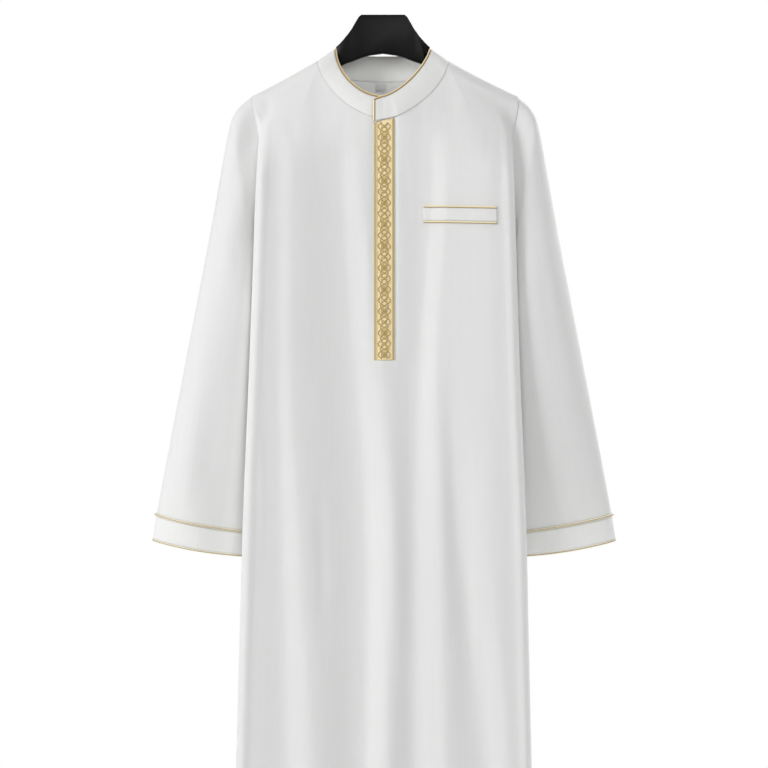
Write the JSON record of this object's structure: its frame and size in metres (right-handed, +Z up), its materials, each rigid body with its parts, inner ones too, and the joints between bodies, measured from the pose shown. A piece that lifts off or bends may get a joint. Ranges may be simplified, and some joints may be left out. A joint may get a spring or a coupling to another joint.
{
  "type": "thobe robe on a hanger",
  "caption": "Long white robe with a stand collar, gold-piped cuffs and a patterned front placket, on a plain wide black hanger.",
  "frame": {"origin": "middle of the hanger's flat top, where the hanger is held", "axes": "+Z up, -Y out of the robe's front, +X to the right of someone who looks at the front"},
  "size_m": [0.6954, 0.179, 1.4697],
  "materials": {
    "white_cloth": "fine matt weave",
    "placket_band": "woven band, pale gold with olive gold thread",
    "gold_piping": "satin piping",
    "black_plastic": "satin moulded plastic"
  },
  "bodies": {
    "root": {"back": "white_cloth", "collar": "white_cloth", "cuff_left": "white_cloth", "cuff_right": "white_cloth", "front": "white_cloth", "hanger": "black_plastic", "label": "white_cloth", "piping_collar": "gold_piping", "piping_cuff_left_foot": "gold_piping", "piping_cuff_left_top": "gold_piping", "piping_cuff_right_foot": "gold_piping", "piping_cuff_right_top": "gold_piping", "piping_welt_foot": "gold_piping", "piping_welt_top": "gold_piping", "placket": "placket_band", "pocket_welt": "white_cloth", "sleeve_left": "white_cloth", "sleeve_right": "white_cloth"}
  },
  "joints": []
}
